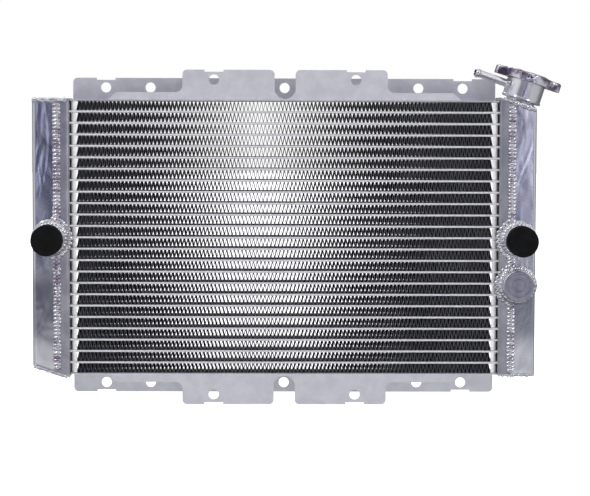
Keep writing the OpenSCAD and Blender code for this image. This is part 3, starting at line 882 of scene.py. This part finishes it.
def cap_top():
    """The plated shell: rolled rim, raised ring, two ears, two crimped lugs and their folds."""
    top = CAP_TOP
    shell = turned("cap_shell_dish", [
        (2.5, top - 1.2), (20.4, top - 1.2), (20.9, top - 1.8), (21, top - 2.4), (21, 21.5),
        (21.2, 20.95), (21.6, 20.8), (21.95, 21.05), (22, 21.6), (22, top - 2.6),
        (22.15, top - 2), (22.15, top - 1.2), (21.8, top - 0.5), (21.1, top - 0.1),
        (20.3, top), (19.6, top - 0.25), (17.9, top - 0.3), (17.3, top), (16.8, top + 0.6),
        (16.2, top + 0.95), (15.4, top + 1), (10.8, top + 1), (10, top + 0.8),
        (9.3, top + 0.15), (8.8, top), (2.5, top), (2.5, top - 1.2)], 120, 0)
    parts = [shell]
    for turn in (0, 180):
        ear = cap_ear()
        move(ear, Matrix.Rotation(math.radians(turn), 4, "Z"))
        parts.append(ear)
        for side in (-1, 1):
            parts.append(lump("ear_fold", (21.6, 0, top - 3.4), (2.6, 4.2, 5.2),
                              turn + side * 25))
    for turn in (90, 270):
        parts.append(lump("crimp", (21.7, 0, 22.3), (1.9, 7.4, 2.8), turn))
        for side in (-1, 1):
            parts.append(lump("crimp_fold", (22.2, 0, 22.5), (1.3, 1.9, 2.2), turn + side * 7))
    cap = joined("cap_shell_pressing", parts)
    move(cap, filler_place())
    finish_piece(cap, "cap_top", finishes["plating"], "cap_plating", "cap_shell")


def cap_springs():
    """The two coils of the cap, each attached to the body that holds it."""
    bodies = frame["record"]["behaviour"]["bodies"]
    for node, joint, held_at, keep_share in (
            ("cap_pressure_spring", "pressure_valve_lift", 26.66, 0.78),
            ("cap_vacuum_spring", "vacuum_valve_drop", 13.02, 0.42)):
        coil = copy_of(nodes[node], node + "_coil")
        edit(coil)
        bpy.ops.mesh.remove_doubles(threshold=1e-6)
        leave_edit()
        smooth(coil, 50)
        body = next(name for name, parts in bodies.items() if node in parts)
        finish_piece(coil, body, finishes["steel"], "spring_steel", node)
        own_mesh(coil)


def plain_nodes():
    """The cap's small turned parts are shown as they are."""
    table = {
        "rubber": ["cap_gasket", "cap_main_seal"],
        "plating": ["cap_rivet"],
        "steel": ["cap_spring_disc", "cap_spring_bell", "cap_pressure_valve"],
        "brass": ["cap_vacuum_valve"],
    }
    for finish, names in table.items():
        for name in names:
            keep(name, finish)


# ---------------------------------------------------------------- stage, light and camera

def floor():
    """A pale glowing table, so that it gives the metal light from below."""
    low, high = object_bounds()
    deselect()
    bpy.ops.mesh.primitive_plane_add(size=16, location=(0, 0, low.z - 2 * MM))
    plane = bpy.context.object
    plane.name = "floor"
    apply_place(plane)
    f = Finish("pale_floor")
    f.set(Base_Color=(0.8, 0.8, 0.8, 1), Roughness=0.9, Emission_Color=(1, 1, 1, 1),
          Emission_Strength=1.0)
    plane.data.materials.append(f.material)
    plane.visible_glossy = False
    plane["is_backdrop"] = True


def softbox(name, place, size, brightness):
    """A rectangular light that faces the radiator; brightness 1 looks white."""
    aim = Vector((0, -0.02, 0))
    light = bpy.data.lights.new(name, "AREA")
    light.shape = "RECTANGLE"
    light.size, light.size_y = size
    light.energy = brightness * math.pi * size[0] * size[1]
    lamp = bpy.data.objects.new(name, light)
    scene.collection.objects.link(lamp)
    lamp.location = place
    lamp.rotation_euler = (aim - Vector(place)).to_track_quat("-Z", "Y").to_euler()
    return lamp


def studio():
    """A white surround. What the metal mirrors is a grey room, dark and bluish in front, with a
    bright strip on either side, brighter walls with a dark bar in each, and a pale foreground."""
    room_level = 0.66
    world = bpy.data.worlds.new("studio")
    world.use_nodes = True
    scene.world = world
    world.node_tree.nodes.clear()
    room = Recipe(world.node_tree)
    parts = room.node("ShaderNodeTexCoord", {}, [], "Generated")
    x, y, z = (room.node("ShaderNodeSeparateXYZ", {}, [parts], axis) for axis in "XYZ")
    off_axis = (x * x + z * z * 0.8).math("SQRT")
    front = room.mix(off_axis.step(0.10, 0.30), (0.055, 0.06, 0.11, 1), (0.30, 0.30, 0.37, 1))
    left_strip = x.step(-0.185, -0.16) * x.step(-0.13, -0.148) * z.step(-0.075, -0.05)
    right_strip = x.step(0.16, 0.175) * x.step(0.21, 0.19) * z.step(-0.075, -0.05)
    lit = z.step(0.30, 0.2)
    glow = x.step(0.08, 0.14) * z.step(-0.09, -0.04)
    front = room.mix(glow, front, (0.52, 0.52, 0.70, 1))
    front = room.mix(left_strip * lit, front, (1.5, 1.5, 2.1, 1))
    front = room.mix(right_strip * lit, front, (2.8, 2.8, 3.2, 1))
    front = room.mix(z.step(-0.100, -0.116), front, (1.2, 1.2, 1.2, 1))
    boxes = room.mix(z.step(0.0, 0.5), (0.80, 0.80, 0.84, 1), (1.25, 1.25, 1.28, 1))
    bars = x.step(-0.60, -0.55) * x.step(-0.42, -0.47) + x.step(0.42, 0.47) * x.step(0.60, 0.55)
    boxes = room.mix(bars, boxes, (0.12, 0.11, 0.16, 1))
    boxes = room.mix(z.step(-0.3, -0.55), boxes, (0.30, 0.30, 0.33, 1))
    room_ahead = room.mix(off_axis.step(0.36, 0.75), front, boxes)
    behind = room.mix(z.step(0.1, 0.8), (0.26, 0.26, 0.28, 1), (0.9, 0.9, 0.92, 1))
    ahead = room.mix(y.step(-0.2, 0.5), room_ahead, behind)
    seen = room.node("ShaderNodeLightPath", {}, [], "Is Camera Ray")
    colour = room.mix(seen, ahead, (1, 1, 1, 1))
    strength = seen * (1 - room_level) + room_level
    shade = room.node("ShaderNodeBackground", {}, {"Color": colour, "Strength": strength})
    room.node("ShaderNodeOutputWorld", {}, [shade], None)
    softbox("key", (-1.1, -1.6, 1.5), (0.4, 0.4), 9.0)
    softbox("fill", (1.5, -1.5, 0.6), (0.25, 0.6), 6.0)
    softbox("back", (0.2, 1.6, 1.2), (1.0, 0.5), 3.0)


def camera():
    """In front, a little above and to the left of the middle, on a long lens."""
    low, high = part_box("tube_12")
    pivot = Vector((0, low.y - 1.5 * MM, 0))
    distance, rise, left = 1.77, math.radians(3.3), -0.022
    place = pivot + Vector((left, -distance * math.cos(rise), distance * math.sin(rise)))
    aim = pivot + Vector((9.1 * MM, 0, -8.8 * MM))
    view = bpy.data.cameras.new("camera")
    view.sensor_width = 36
    view.lens = 123.3
    eye = bpy.data.objects.new("camera", view)
    scene.collection.objects.link(eye)
    eye.location = place
    roll = Matrix.Rotation(math.radians(0.2), 4, "Z")
    turn = (aim - place).to_track_quat("-Z", "Y").to_matrix().to_4x4()
    eye.rotation_euler = (turn @ roll).to_euler()
    scene.camera = eye
    scene.view_settings.view_transform = "Standard"


core()
sheet_parts()
tank_seams()
ring_welds()
hose_necks()
fan_switch_port()
filler()
cap_top()
cap_springs()
plain_nodes()
floor()
studio()
camera()
